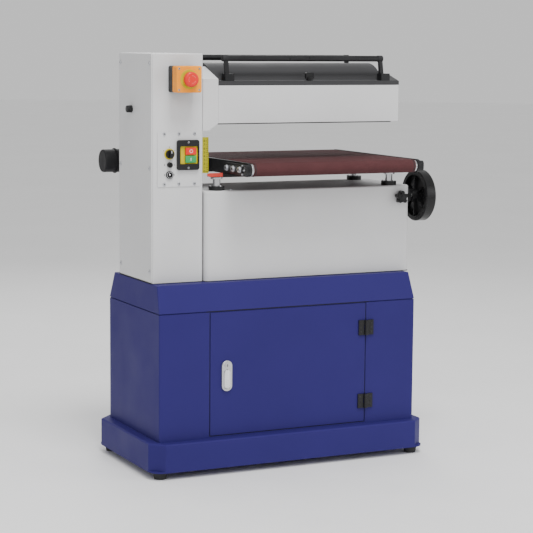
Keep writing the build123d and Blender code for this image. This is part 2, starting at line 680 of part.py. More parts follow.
HEX_Y = (-130.0, -170.0, -210.0)
with BuildPart() as table_bolts:
    for block_x, head_x in ((PLATE_LEFT - BLOCK_T, -5), (PLATE_RIGHT + PLATE_T + BLOCK_T, 0)):
        with BuildSketch(SIDE.offset(block_x + head_x)):
            with Locations(*[(hex_y, ROLLER_Z) for hex_y in HEX_Y]):
                RegularPolygon(7.5, 6)
        extrude(amount=5)
        with BuildSketch(SIDE.offset(block_x + head_x + (1.5 if head_x else 0))):
            with Locations((-229, ROLLER_Z + 11), (-240, ROLLER_Z), (-229, ROLLER_Z - 11)):
                Circle(2.3)
        extrude(amount=3.5)
save(table_bolts, "table_bolts")

GEARBOX_X = (186.0, PLATE_LEFT)
with BuildPart() as gear_motor:
    block(GEARBOX_X, (ROLLER_Y - 34, ROLLER_Y + 34), (ROLLER_Z - 34, ROLLER_Z + 34))
    fillet(gear_motor.edges().filter_by(Axis.X), 8)
    bar_x(198, GEARBOX_X[1], ROLLER_Y, ROLLER_Z, SHAFT_R + 0.3, Mode.SUBTRACT)
    bar_x(40, GEARBOX_X[0], ROLLER_Y, ROLLER_Z, 32)
    with BuildSketch(SIDE.offset(60)):
        with Locations((ROLLER_Y, ROLLER_Z)):
            with PolarLocations(32.5, 28):
                Rectangle(5, 2)
    extrude(amount=110)
    bar_x(-1, 40, ROLLER_Y, ROLLER_Z, 31.5)
    fillet(gear_motor.faces().sort_by(Axis.X)[0].edges(), 4)
    bar_x(34, 37, ROLLER_Y, ROLLER_Z, 34.5)
save(gear_motor, "gear_motor")

with BuildPart() as height_pointer:
    with BuildSketch(FRONT.offset(120)):
        with BuildLine():
            Polyline((204, 779), (204, 789), (166, 789), (158, 784), (166, 779), close=True)
        make_face()
    extrude(amount=2)
save(height_pointer, "height_pointer")

# ---------------------------------------------------------------- head

with BuildPart() as head_neck:
    with BuildSketch(SIDE.offset(COL_X[1])):
        with BuildLine():
            Polyline(
                (-COL_HALF_D, 900),
                (COL_HALF_D, 900),
                (COL_HALF_D, 1034),
                (30, 1065),
                (-30, 1065),
                (-COL_HALF_D, 1034),
                close=True,
            )
        make_face()
    extrude(amount=HEAD_X[0] - COL_X[1])
    with BuildSketch(FRONT.offset(-COL_HALF_D)):
        with BuildLine():
            Polyline((166, 900), (HEAD_X[0], 900), (HEAD_X[0], HEAD_Z[0]), close=True)
        make_face()
    extrude(amount=2 * COL_HALF_D, mode=Mode.SUBTRACT)
    side_faces = head_neck.faces().filter_by(Axis.X).sort_by(Axis.X)
    offset(amount=-HEAD_WALL, openings=[side_faces[0], side_faces[-1]])
save(head_neck, "head_neck")

BEARING_R = 31.0
with BuildPart() as head_frame:
    block(HEAD_X, (-COL_HALF_D, COL_HALF_D), HEAD_Z)
    fillet(head_frame.edges().filter_by(Axis.Z), 3)
    block(
        (HEAD_X[0] + 6, HEAD_X[1] - 6),
        (-COL_HALF_D + HEAD_WALL, COL_HALF_D - HEAD_WALL),
        HEAD_Z,
        Mode.SUBTRACT,
    )
    bar_x(HEAD_X[0], HEAD_X[0] + 6, 0, DRUM_Z, 20, Mode.SUBTRACT)
    bar_x(HEAD_X[1] - 6, HEAD_X[1], 0, DRUM_Z, 20, Mode.SUBTRACT)
    for press_y in (-PRESS_Y, PRESS_Y):
        bar_x(HEAD_X[0] + 1, HEAD_X[1] - 1, press_y, PRESS_Z, 5 + PIN_CLEAR, Mode.SUBTRACT)
    # duct opening in the back
    block((415, 515), (COL_HALF_D - HEAD_WALL, COL_HALF_D), (930, 1006), Mode.SUBTRACT)
save(head_frame, "head_frame")

with BuildPart() as flange_bearings:
    for bearing_x, step in ((HEAD_X[0] + 6, 1), (HEAD_X[1] - 6, -1)):
        ends = sorted((bearing_x, bearing_x + 6 * step))
        bar_x(*ends, 0, DRUM_Z, 34)
        ends = sorted((bearing_x, bearing_x + 14 * step))
        bar_x(*ends, 0, DRUM_Z, 26)
        bar_x(*ends, 0, DRUM_Z, DRUM_SHAFT_R + PIN_CLEAR, Mode.SUBTRACT)
    plate_x = HOUSE_X[1]
    bar_x(plate_x, plate_x + 6, WHEEL_Y, WHEEL_Z, 20)
    bar_x(plate_x, plate_x + 12, WHEEL_Y, WHEEL_Z, 14)
    bar_x(plate_x - 6, plate_x, WHEEL_Y, WHEEL_Z, 10.5)
    bar_x(plate_x - 6, plate_x + 12, WHEEL_Y, WHEEL_Z, SHAFT_R + PIN_CLEAR, Mode.SUBTRACT)
save(flange_bearings, "flange_bearings")

with BuildPart() as sanding_drum:
    bar_x(*DRUM_X, 0, DRUM_Z, DRUM_R)
    bar_x(DRUM_X[0] + 10, DRUM_X[1] - 10, 0, DRUM_Z, DRUM_R - 6, Mode.SUBTRACT)
    bar_x(22, HEAD_X[1] - 7, 0, DRUM_Z, DRUM_SHAFT_R)
save(sanding_drum, "sanding_drum")

with BuildPart() as abrasive_wrap:
    bar_x(DRUM_X[0] + 1, DRUM_X[1] - 1, 0, DRUM_Z, WRAP_R)
    bar_x(DRUM_X[0] + 1, DRUM_X[1] - 1, 0, DRUM_Z, DRUM_R, Mode.SUBTRACT)
save(abrasive_wrap, "abrasive_wrap")


def pulley(axis_z, radius, bore, stub_end=None):
    """A belt pulley with two flanges, on a bore or on a short shaft of its own."""
    with BuildPart() as wheel:
        bar_x(*PULLEY_X, 0, axis_z, radius)
        bar_x(PULLEY_X[0], PULLEY_X[0] + 2, 0, axis_z, radius + 5)
        bar_x(PULLEY_X[1] - 2, PULLEY_X[1], 0, axis_z, radius + 5)
        bar_x(PULLEY_X[0], PULLEY_X[0] + 6, 0, axis_z, radius - 8, Mode.SUBTRACT)
        bar_x(PULLEY_X[0], PULLEY_X[1], 0, axis_z, bore + 8)
        if stub_end is None:
            bar_x(PULLEY_X[0], PULLEY_X[1], 0, axis_z, bore, Mode.SUBTRACT)
        else:
            bar_x(PULLEY_X[0] - 6, stub_end, 0, axis_z, bore)
    return wheel


save(pulley(DRUM_Z, DRUM_PULLEY_R, DRUM_SHAFT_R), "drum_pulley")
save(pulley(MOTOR_Z, MOTOR_PULLEY_R, MOTOR_SHAFT_R, MOTOR_SHAFT_END), "motor_pulley")

with BuildPart() as drive_belt:
    for extra, loop_mode in ((0.4 + BELT_T, Mode.ADD), (0.4, Mode.SUBTRACT)):
        with BuildSketch(SIDE.offset(PULLEY_X[0] + 3)):
            with Locations((0, DRUM_Z)):
                Circle(DRUM_PULLEY_R + extra)
            with Locations((0, MOTOR_Z)):
                Circle(MOTOR_PULLEY_R + extra)
            make_hull()
        extrude(amount=PULLEY_X[1] - PULLEY_X[0] - 6, mode=loop_mode)
save(drive_belt, "drive_belt")

MOTOR_R = 70.0
with BuildPart() as drum_motor:
    bar_x(100, 330, 0, MOTOR_Z, MOTOR_R - 6)
    bar_x(100, 116, 0, MOTOR_Z, MOTOR_R)
    with BuildSketch(SIDE.offset(130)):
        with Locations((0, MOTOR_Z)):
            with PolarLocations(MOTOR_R - 5, 32):
                Rectangle(8, 2.5)
    extrude(amount=170)
    bar_x(310, 360, 0, MOTOR_Z, MOTOR_R)
    block((160, 250), (-45, 45), (MOTOR_Z + 50, MOTOR_Z + 100))
    for foot_y in (-62, 62):
        block((150, 280), (foot_y - 18, foot_y + 18), (CAB_Z0 + SHEET, CAB_Z0 + SHEET + 10))
        block((160, 270), (foot_y - 6, foot_y + 6), (CAB_Z0 + SHEET, MOTOR_Z - 20))
    bar_x(96, MOTOR_SHAFT_END + 4, 0, MOTOR_Z, MOTOR_SHAFT_R + PIN_CLEAR, Mode.SUBTRACT)
save(drum_motor, "drum_motor")

for roller_name, press_y in (("pressure_roller_front", -PRESS_Y), ("pressure_roller_rear", PRESS_Y)):
    with BuildPart() as pressure_roller:
        bar_x(HEAD_X[0] + 12, HEAD_X[1] - 12, press_y, PRESS_Z, PRESS_R)
        bar_x(HEAD_X[0] + 2, HEAD_X[1] - 2, press_y, PRESS_Z, 5)
    save(pressure_roller, roller_name)

DUCT_X = 465.0
DUCT_Z = 968.0
DUCT_R = 50.0
DUCT_Y = (125.5, 185.5)
with BuildPart() as dust_port:
    block((405, 525), (COL_HALF_D, DUCT_Y[0]), (922, 1014))
    fillet(dust_port.edges().filter_by(Axis.Y), 4)
    bar_y(*DUCT_Y, DUCT_X, DUCT_Z, DUCT_R)
    bar_y(COL_HALF_D, DUCT_Y[1], DUCT_X, DUCT_Z, 44, Mode.SUBTRACT)
    bar_y(DUCT_Y[0], DUCT_Y[1], DUCT_X, DUCT_Z, DUCT_R - 2, Mode.SUBTRACT)
save(dust_port, "dust_port")

# ---------------------------------------------------------------- lid


def lid_profile(inset, plane):
    """The lid's side outline: a lip, a shelf that rises a little, and a vault over the drum."""
    arc_r = LID_ARC_R - inset
    edge_y = COL_HALF_D - inset
    lip_z = LID_LIP_Z - inset
    shelf_z = LID_SHELF_Z - inset
    shelf_y = math.sqrt(arc_r**2 - (shelf_z - DRUM_Z) ** 2)
    with BuildSketch(plane) as outline:
        with BuildLine():
            Polyline((-edge_y, LID_Z0), (-edge_y, lip_z), (-shelf_y, shelf_z))
            ThreePointArc((-shelf_y, shelf_z), (0, DRUM_Z + arc_r), (shelf_y, shelf_z))
            Polyline((shelf_y, shelf_z), (edge_y, lip_z), (edge_y, LID_Z0))
            Line((edge_y, LID_Z0), (-edge_y, LID_Z0))
        make_face()
    return outline.sketch


def shoulder_outline(inset, plane):
    """The outline of the lid's end, which stays lower than the vault."""
    edge_y = COL_HALF_D - inset
    with BuildSketch(plane) as outline:
        with BuildLine():
            Polyline(
                (-edge_y, LID_Z0),
                (-edge_y, LID_LIP_Z - inset),
                (-SHOULDER[0], SHOULDER[1] - inset),
                (SHOULDER[0], SHOULDER[1] - inset),
                (edge_y, LID_LIP_Z - inset),
                (edge_y, LID_Z0),
                close=True,
            )
        make_face()
    return outline.sketch


VAULT_END = 702.0
SHOULDER = (57.0, 1045.0)
with BuildPart() as drum_lid:
    vault_start = HEAD_X[0] + 0.5
    extrude(lid_profile(0, SIDE.offset(vault_start)), amount=VAULT_END - vault_start)
    extrude(
        lid_profile(LID_T, SIDE.offset(vault_start + LID_T)),
        amount=VAULT_END - vault_start - 2 * LID_T,
        mode=Mode.SUBTRACT,
    )
    # the low shoulder beyond the vault
    shoulder_end = HEAD_X[1] - 0.5
    extrude(shoulder_outline(0, SIDE.offset(VAULT_END - 1)), amount=shoulder_end - VAULT_END + 1)
    extrude(
        shoulder_outline(LID_T, SIDE.offset(VAULT_END)),
        amount=shoulder_end - VAULT_END - LID_T,
        mode=Mode.SUBTRACT,
    )
    for hinge_x in LID_HINGE_X:
        for ear_x in ((hinge_x - 34, hinge_x - 14.3), (hinge_x + 14.3, hinge_x + 34)):
            block(ear_x, (COL_HALF_D - 1, LID_PIVOT[0]), (1020.5, 1025))
            bar_x(*ear_x, *LID_PIVOT, KNUCKLE_R)
            bar_x(*ear_x, *LID_PIVOT, PIN_R + PIN_CLEAR, Mode.SUBTRACT)
save(drum_lid, "drum_lid")

with BuildPart() as hinge_leaves:
    for low, high in HINGE_Z:
        lower, middle, upper = knuckle_spans(low, high)
        block((613.5, 630), (-184, -CAB_HALF_D), (low, high))
        block((HINGE_AXIS[0], 614), (-184, -181), middle)
        bar_z(*middle, *HINGE_AXIS, KNUCKLE_R)
        bar_z(low, high, *HINGE_AXIS, PIN_R)
    for hinge_x in LID_HINGE_X:
        block((hinge_x - 14, hinge_x + 14), (COL_HALF_D, COL_HALF_D + 3), (985, 1016))
        block((hinge_x - 14, hinge_x + 14), (COL_HALF_D + 1.5, LID_PIVOT[0]), (1013, 1018))
        bar_x(hinge_x - 14, hinge_x + 14, *LID_PIVOT, KNUCKLE_R)
        bar_x(hinge_x - 34, hinge_x + 34, *LID_PIVOT, PIN_R)
save(hinge_leaves, "hinge_leaves")

LID_KNOB = (468.0, -100.0)
KNOB_BASE_Z = LID_LIP_Z + 2.5
with BuildPart() as lid_knob:
    bar_z(KNOB_BASE_Z, KNOB_BASE_Z + 8, *LID_KNOB, 9)
    block(
        (LID_KNOB[0] - 12, LID_KNOB[0] + 12),
        (LID_KNOB[1] - 3.5, LID_KNOB[1] + 3.5),
        (KNOB_BASE_Z + 4, KNOB_BASE_Z + 20),
    )
    fillet(lid_knob.edges().filter_by(Axis.Y).group_by(Axis.Z)[-1], 3)
save(lid_knob, "lid_knob")

FOOT_TOP = 1048.0
RAIL_FOOT_Y = 104.0
with BuildPart() as rest_rails:
    for rail_y in (-RAIL_Y, RAIL_Y):
        bar_x(*RAIL_X, rail_y, RAIL_Z, RAIL_R)
    fillet(rest_rails.edges().filter_by(GeomType.CIRCLE), 2)
    for side in (-1, 1):
        for foot_x, post_x in ((RAIL_X[0] + 14, RAIL_X[0] + 10), (RAIL_X[1] + 3, RAIL_X[1] - 5)):
            foot_y = sorted((side * 90, side * 114))
            block((foot_x - 13, foot_x + 13), foot_y, (1026, FOOT_TOP))
            with BuildSketch(SIDE.offset(post_x - 5)):
                with BuildLine():
                    Polyline(
                        (side * (RAIL_FOOT_Y - 7), FOOT_TOP - 2),
                        (side * (RAIL_Y - 5), RAIL_Z),
                        (side * (RAIL_Y + 4), RAIL_Z),
                        (side * (RAIL_FOOT_Y + 4), FOOT_TOP - 2),
                        close=True,
                    )
                make_face()
            extrude(amount=10)
    extrude(lid_profile(0, SIDE.offset(RAIL_X[0] - 12)), amount=RAIL_X[1] - RAIL_X[0] + 32, mode=Mode.SUBTRACT)
    extrude(
        shoulder_outline(0, SIDE.offset(VAULT_END - 1)), amount=HEAD_X[1] - VAULT_END, mode=Mode.SUBTRACT
    )
save(rest_rails, "rest_rails")

# ---------------------------------------------------------------- small screws of the fixed parts


def screw_head(point, direction, radius, height):
    bar(point, direction, height, radius, end_radius=radius * 0.7)


with BuildPart() as case_screws:
    for screw_y in (-103, 103):
        for screw_z in (535, 804, 1075):
            screw_head((5, screw_y, screw_z), (-1, 0, 0), 4, 2.2)
    for screw_x in (40, 81, 125):
        for screw_z in (763, 893):
            screw_head((screw_x, PANEL_Y, screw_z), (0, -1, 0), 4.6, 2.6)
    for screw_z in (SWITCH_Z - 33, SWITCH_Z + 33):
        screw_head((SWITCH_X, PANEL_Y - 8, screw_z), (0, -1, 0), 3, 1.6)
    for screw_x in (ESTOP_X - 28, ESTOP_X + 28):
        for screw_z in (ESTOP_Z - 27, ESTOP_Z + 27):
            screw_head((screw_x, ESTOP_FRONT, screw_z), (0, -1, 0), 3, 1.5)
    for post_x in POST_X:
        for post_y in POST_Y:
            for turn in (45, 165, 285):
                screw_x = post_x + 17 * math.cos(math.radians(turn))
                screw_y = post_y + 17 * math.sin(math.radians(turn))
                screw_head((screw_x, screw_y, HOUSE_Z1 + 11), (0, 0, 1), 3, 2.5)
    screw_head((232, -113, HOUSE_Z1), (0, 0, 1), 4, 3)
save(case_screws, "case_screws")
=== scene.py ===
import json
import math

import bmesh
import bpy
from mathutils import Matrix, Vector


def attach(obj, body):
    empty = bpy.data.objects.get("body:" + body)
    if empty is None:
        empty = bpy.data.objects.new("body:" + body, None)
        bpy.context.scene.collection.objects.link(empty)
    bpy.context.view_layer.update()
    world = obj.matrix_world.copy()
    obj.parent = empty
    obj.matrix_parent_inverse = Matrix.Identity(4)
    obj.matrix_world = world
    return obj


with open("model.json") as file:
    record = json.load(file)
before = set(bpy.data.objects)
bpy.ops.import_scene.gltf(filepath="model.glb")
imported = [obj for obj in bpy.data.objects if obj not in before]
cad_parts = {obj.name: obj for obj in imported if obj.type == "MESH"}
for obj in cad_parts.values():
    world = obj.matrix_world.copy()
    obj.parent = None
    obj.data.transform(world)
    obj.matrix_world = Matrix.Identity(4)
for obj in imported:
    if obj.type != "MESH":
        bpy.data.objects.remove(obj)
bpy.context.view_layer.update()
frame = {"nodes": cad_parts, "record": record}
nodes = frame["nodes"]
scene = bpy.context.scene

# ---------------------------------------------------------------- camera

YAW = math.radians(25.877)
PITCH = math.radians(7.258)
ROLL = 0.0077
forward = Vector((math.sin(YAW) * math.cos(PITCH), math.cos(YAW) * math.cos(PITCH), -math.sin(PITCH)))
level = Vector((math.cos(YAW), -math.sin(YAW), 0))
upright = level.cross(forward)
right = math.cos(ROLL) * level + math.sin(ROLL) * upright
above = math.cos(ROLL) * upright - math.sin(ROLL) * level
camera_data = bpy.data.cameras.new("camera")
camera_data.lens = 118.1
camera_data.sensor_width = 36
camera_data.clip_end = 100
camera = bpy.data.objects.new("camera", camera_data)
camera.matrix_world = Matrix.Translation((-2.0941, -4.3078, 1.1261)) @ Matrix(
    (right, above, -forward)
).transposed().to_4x4()
scene.collection.objects.link(camera)
scene.camera = camera

# ---------------------------------------------------------------- light and floor

world = bpy.data.worlds.new("studio")
world.use_nodes = True
background = world.node_tree.nodes["Background"]
background.inputs["Color"].default_value = (1, 1, 1, 1)
background.inputs["Strength"].default_value = 0.75
scene.world = world


def area_light(name, place, target, size, power):
    data = bpy.data.lights.new(name, "AREA")
    data.shape = "DISK"
    data.size = size
    data.energy = power
    lamp = bpy.data.objects.new(name, data)
    lamp.location = place
    lamp.rotation_euler = (Vector(target) - Vector(place)).to_track_quat("-Z", "Y").to_euler()
    scene.collection.objects.link(lamp)


area_light("key", (-1.6, -3.2, 3.0), (0, 0, 0.6), 1.8, 44)
area_light("fill", (2.6, -2.6, 1.6), (0, 0, 0.6), 2.0, 20)
area_light("overhead", (-0.3, -1.7, 3.7), (0, -0.2, 0.5), 1.2, 90)
area_light("rear", (0.6, 2.8, 2.6), (0, 0, 0.8), 2.0, 30)

# ---------------------------------------------------------------- materials


class Shader:
    """One procedural material on object coordinates, built up a layer at a time."""

    def __init__(self, name, rough, metal=0.0, coat=0.0, coat_rough=0.2, gloss=0.5):
        self.made = bpy.data.materials.new(name)
        self.made.use_nodes = True
        self.tree = self.made.node_tree
        self.bsdf = self.tree.nodes["Principled BSDF"]
        self.bsdf.inputs["Roughness"].default_value = rough
        self.bsdf.inputs["Metallic"].default_value = metal
        self.bsdf.inputs["Coat Weight"].default_value = coat
        self.bsdf.inputs["Coat Roughness"].default_value = coat_rough
        self.bsdf.inputs["Specular IOR Level"].default_value = gloss
        self.place = self.add("ShaderNodeTexCoord").outputs["Object"]
        self.height = None

    def add(self, kind, **values):
        node = self.tree.nodes.new(kind)
        for key, value in values.items():
            setattr(node, key, value)
        return node

    def join(self, source, target):
        self.tree.links.new(source, target)

    def stretched(self, stretch):
        mapping = self.add("ShaderNodeMapping")
        self.join(self.place, mapping.inputs["Vector"])
        mapping.inputs["Scale"].default_value = stretch
        return mapping.outputs["Vector"]

    def noise(self, scale, detail=3.0, stretch=(1, 1, 1)):
        node = self.add("ShaderNodeTexNoise")
        self.join(self.stretched(stretch), node.inputs["Vector"])
        node.inputs["Scale"].default_value = scale
        node.inputs["Detail"].default_value = detail
        return node.outputs["Fac"]

    def cells(self, scale):
        node = self.add("ShaderNodeTexVoronoi")
        self.join(self.place, node.inputs["Vector"])
        node.inputs["Scale"].default_value = scale
        return node.outputs["Distance"]

    def ramp(self, source, stops):
        node = self.add("ShaderNodeValToRGB")
        self.join(source, node.inputs["Fac"])
        ramp = node.color_ramp
        for index, (spot, color) in enumerate(stops):
            stop = ramp.elements[index] if index < 2 else ramp.elements.new(spot)
            stop.position = spot
            stop.color = (*color, 1)
        return node.outputs["Color"]

    def mix(self, share, low, high):
        node = self.add("ShaderNodeMix", data_type="RGBA")
        factor, first, second = node.inputs["Factor"], node.inputs[6], node.inputs[7]
        for socket, value in ((factor, share), (first, low), (second, high)):
            if isinstance(value, bpy.types.NodeSocket):
                self.join(value, socket)
            elif isinstance(value, tuple):
                socket.default_value = (*value, 1)
            else:
                socket.default_value = value
        return node.outputs[2]

    def span(self, source, low, high, out_low, out_high):
        node = self.add("ShaderNodeMapRange")
        self.join(source, node.inputs["Value"])
        for key, value in zip(("From Min", "From Max", "To Min", "To Max"), (low, high, out_low, out_high)):
            node.inputs[key].default_value = value
        return node.outputs["Result"]

    def color(self, source):
        self.join(source, self.bsdf.inputs["Base Color"])

    def rough(self, source, low, high):
        self.join(self.span(source, 0.3, 0.7, low, high), self.bsdf.inputs["Roughness"])

    def bump(self, source, depth, strength=1.0):
        node = self.add("ShaderNodeBump")
        node.inputs["Distance"].default_value = depth
        node.inputs["Strength"].default_value = strength
        self.join(source, node.inputs["Height"])
        if self.height is not None:
            self.join(self.height, node.inputs["Normal"])
        self.height = node.outputs["Normal"]
        self.join(self.height, self.bsdf.inputs["Normal"])


def tint(color, factor):
    return tuple(min(1, channel * factor) for channel in color)


def powder(name, color, rough=0.42, gloss=0.4):
    """Powder coat: orange-peel skin, faint clouding and sparse pale specks."""
    shader = Shader(name, rough, gloss=gloss)
    clouds = shader.noise(3.5, 4)
    body = shader.ramp(clouds, ((0.3, tint(color, 0.95)), (0.7, tint(color, 1.05))))
    specks = shader.span(shader.noise(900, 1), 0.7, 0.78, 0, 0.35)
    shader.color(shader.mix(specks, body, tint(color, 1.3)))
    shader.rough(shader.noise(11, 4), rough - 0.05, rough + 0.06)
    shader.bump(shader.noise(420, 2), 0.0003, 0.5)
    return shader.made


def enamel(name, color, rough=0.35):
    shader = Shader(name, rough, gloss=0.3)
    clouds = shader.noise(14, 4)
    body = shader.ramp(clouds, ((0.3, tint(color, 0.8)), (0.7, tint(color, 1.25))))
    scuffs = shader.span(shader.noise(150, 5, (1, 1, 0.2)), 0.66, 0.75, 0, 0.5)
    shader.color(shader.mix(scuffs, body, (0.05, 0.05, 0.05)))
    shader.rough(shader.noise(30, 4), rough - 0.08, rough + 0.12)
    shader.bump(shader.noise(260, 3), 0.0004, 0.4)
    return shader.made


def metal(name, color, rough, grain, stretch):
    """Bare metal whose tool marks run along the axis that stretch leaves long."""
    shader = Shader(name, rough, metal=1.0)
    marks = shader.noise(grain, 4, stretch)
    stains = shader.noise(18, 4)
    body = shader.ramp(marks, ((0.25, tint(color, 0.82)), (0.75, tint(color, 1.1))))
    dull = shader.span(stains, 0.45, 0.75, 0, 0.35)
    shader.color(shader.mix(dull, body, tint(color, 0.6)))
    shader.rough(marks, rough * 0.7, rough * 1.4)
    shader.bump(marks, 0.0002, 0.4)
    return shader.made


def plastic(name, color, rough=0.4, texture=700, coat=0.0):
    shader = Shader(name, rough, coat=coat, gloss=0.3)
    clouds = shader.noise(25, 3)
    body = shader.ramp(clouds, ((0.3, tint(color, 0.9)), (0.7, tint(color, 1.1))))
    dust = shader.span(shader.noise(90, 5), 0.6, 0.8, 0, 0.25)
    shader.color(shader.mix(dust, body, tuple(0.7 * c + 0.03 for c in color)))
    shader.rough(shader.noise(60, 3), rough - 0.06, rough + 0.1)
    shader.bump(shader.noise(texture, 2), 0.00025, 0.45)
    return shader.made


def rubber(name, color):
    shader = Shader(name, 0.75, gloss=0.25)
    chalk = shader.noise(45, 5)
    body = shader.ramp(chalk, ((0.35, color), (0.7, tint(color, 2.2))))
    shader.color(body)
    shader.rough(chalk, 0.68, 0.85)
    shader.bump(shader.noise(1200, 2), 0.0003, 0.6)
    return shader.made


def grit(name, dark, light, warp_axis):
    """Coated abrasive on cloth: sharp grains, uneven dye, faint lengthwise rolling marks."""
    shader = Shader(name, 0.7, gloss=0.05)
    grains = shader.cells(1500)
    body = shader.ramp(grains, ((0.05, light), (0.55, dark)))
    stretch = tuple(0.04 if axis == warp_axis else 1 for axis in range(3))
    lanes = shader.noise(60, 3, stretch)
    body = shader.mix(shader.span(lanes, 0.35, 0.7, 0, 0.35), body, tint(dark, 1.6))
    stains = shader.span(shader.noise(7, 5), 0.45, 0.7, 0, 0.3)
    shader.color(shader.mix(stains, body, tint(dark, 0.75)))
    shader.rough(shader.noise(300, 2), 0.55, 0.85)
    shader.bump(grains, 0.0005, 0.7)
    return shader.made


MAT = {
    "powder_grey": powder("powder_grey", (0.61, 0.61, 0.615)),
    "powder_blue": powder("powder_blue", (0.026, 0.020, 0.128), 0.5, 0.1),
    "lid_charcoal": powder("lid_charcoal", (0.040, 0.040, 0.042), 0.5, 0.2),
    "black_paint": enamel("black_paint", (0.010, 0.010, 0.011)),
    "black_plastic": plastic("black_plastic", (0.012, 0.012, 0.013), 0.42),
    "rubber": rubber("rubber", (0.022, 0.022, 0.023)),
    "belt_rubber": rubber("belt_rubber", (0.030, 0.030, 0.032)),
    "steel": metal("steel", (0.55, 0.55, 0.56), 0.32, 220, (0.06, 1, 1)),
    "zinc": metal("zinc", (0.62, 0.63, 0.66), 0.38, 300, (1, 1, 1)),
    "chrome": metal("chrome", (0.78, 0.78, 0.80), 0.14, 260, (1, 1, 0.08)),
    "satin_chrome": metal("satin_chrome", (0.60, 0.60, 0.61), 0.34, 260, (1, 1, 0.08)),
    "aluminium": metal("aluminium", (0.70, 0.70, 0.72), 0.30, 260, (0.05, 1, 1)),
    "abrasive": grit("abrasive", (0.066, 0.024, 0.026), (0.15, 0.07, 0.07), 1),
    "red_plastic": plastic("red_plastic", (0.72, 0.022, 0.014), 0.32, coat=0.1),
    "green_plastic": plastic("green_plastic", (0.025, 0.30, 0.09), 0.32, coat=0.1),
    "orange_plastic": plastic("orange_plastic", (1.0, 0.32, 0.004), 0.45),
    "yellow_paint": plastic("yellow_paint", (0.58, 0.46, 0.008), 0.45),
    "scale_yellow": plastic("scale_yellow", (0.36, 0.33, 0.006), 0.5),
    "red_paint": enamel("red_paint", (0.50, 0.05, 0.035)),
    "white_ink": plastic("white_ink", (0.8, 0.8, 0.78), 0.5),
    "faded_ink": plastic("faded_ink", (0.78, 0.16, 0.12), 0.45),
    "motor_black": enamel("motor_black", (0.007, 0.007, 0.008), 0.55),
    "wheel_black": plastic("wheel_black", (0.006, 0.006, 0.0065), 0.3, 500),
    "knob_black": plastic("knob_black", (0.006, 0.006, 0.0065), 0.28, 500),
    "gasket": rubber("gasket", (0.016, 0.016, 0.017)),
}

slots = {entry["node"]: entry["material_slot"] for entry in frame["record"]["subparts"]}
special = {
    "gear_motor": "motor_black",
    "drum_motor": "motor_black",
    "handwheel": "wheel_black",
    "handwheel_grip": "wheel_black",
    "lock_knob": "knob_black",
    "lid_knob": "knob_black",
    "panel_fittings": "knob_black",
    "latch_body": "satin_chrome",
    "thickness_scale": "scale_yellow",
}
for node_name, node in nodes.items():
    for index in range(max(1, len(node.data.materials))):
        chosen = MAT[special.get(node_name, slots[node_name])]
        if index < len(node.data.materials):
            node.data.materials[index] = chosen
        else:
            node.data.materials.append(chosen)

# ---------------------------------------------------------------- floor


def floor_material():
    shader = Shader("pale_floor", 0.55, gloss=0.2)
    body = shader.ramp(shader.noise(1.5, 5), ((0.3, (0.93, 0.93, 0.93)), (0.7, (0.96, 0.96, 0.96))))
    shader.color(body)
    shader.rough(shader.noise(6, 3), 0.5, 0.65)
    return shader.made


def mesh_object(name, work, material, smooth=True):
    mesh = bpy.data.meshes.new(name)
    bmesh.ops.recalc_face_normals(work, faces=work.faces)
    work.to_mesh(mesh)
    work.free()
    made = bpy.data.objects.new(name, mesh)
    scene.collection.objects.link(made)
    mesh.materials.append(material)
    if smooth:
        made.data.shade_smooth()
        made.data.set_sharp_from_angle(angle=math.radians(35))
    return made


def ring_points(radius, count, start=0.0):
    return [
        (radius * math.cos(start + 2 * math.pi * i / count), radius * math.sin(start + 2 * math.pi * i / count))
        for i in range(count)
    ]


floor_work = bmesh.new()
rim = [floor_work.verts.new((x, y, 0)) for x, y in ring_points(30, 64)]
floor_work.faces.new(rim)
floor = mesh_object("floor", floor_work, floor_material(), smooth=False)

# ---------------------------------------------------------------- pieces

LEFT = -401.5
MIDDLE = -8.5


def at(x, y, z):
    """A point of the machine, in millimetres from the cabinet's left side, in the row frame."""
    return Vector((LEFT + x, MIDDLE + y, z)) / 1000


def basis(origin, normal, across):
    """A frame whose third axis is the normal and whose first is across."""
    third = Vector(normal).normalized()
    first = Vector(across).normalized()
    second = third.cross(first)
    return Matrix.Translation(origin) @ Matrix((first, second, third)).transposed().to_4x4()


def loops(work, placing, sections, closed_ends=True):
    """Joins rings of the same count; each section is (points in mm, height in mm)."""
    rows = []
    for points, height in sections:
        rows.append([work.verts.new(placing @ (Vector((u, v, height)) / 1000)) for u, v in points])
    count = len(rows[0])
    for low, high in zip(rows, rows[1:]):
        for i in range(count):
            j = (i + 1) % count
            work.faces.new((low[i], low[j], high[j], high[i]))
    if closed_ends:
        work.faces.new(list(reversed(rows[0])))
        work.faces.new(rows[-1])


def rounded(width, height, corner, steps=5):
    points = []
    for quarter, (sx, sy) in enumerate(((1, 1), (-1, 1), (-1, -1), (1, -1))):
        for step in range(steps + 1):
            turn = math.radians(90 * quarter + 90 * step / steps)
            points.append(
                (
                    sx * (width / 2 - corner) + corner * math.cos(turn),
                    sy * (height / 2 - corner) + corner * math.sin(turn),
                )
            )
    return points


def scaled(points, factor):
    return [(u * factor, v * factor) for u, v in points]


FACING = {
    "front": ((0, -1, 0), (1, 0, 0)),
    "back": ((0, 1, 0), (-1, 0, 0)),
    "left": ((-1, 0, 0), (0, -1, 0)),
    "right": ((1, 0, 0), (0, 1, 0)),
    "up": ((0, 0, 1), (1, 0, 0)),
}


def placed(point, facing):
    return basis(at(*point), *FACING[facing])


def lathed(work, placing, profile, count=32):
    """A turned form: profile is (radius, height) in mm from one closed end to the other."""
    loops(work, placing, [(ring_points(radius, count), height) for radius, height in profile])


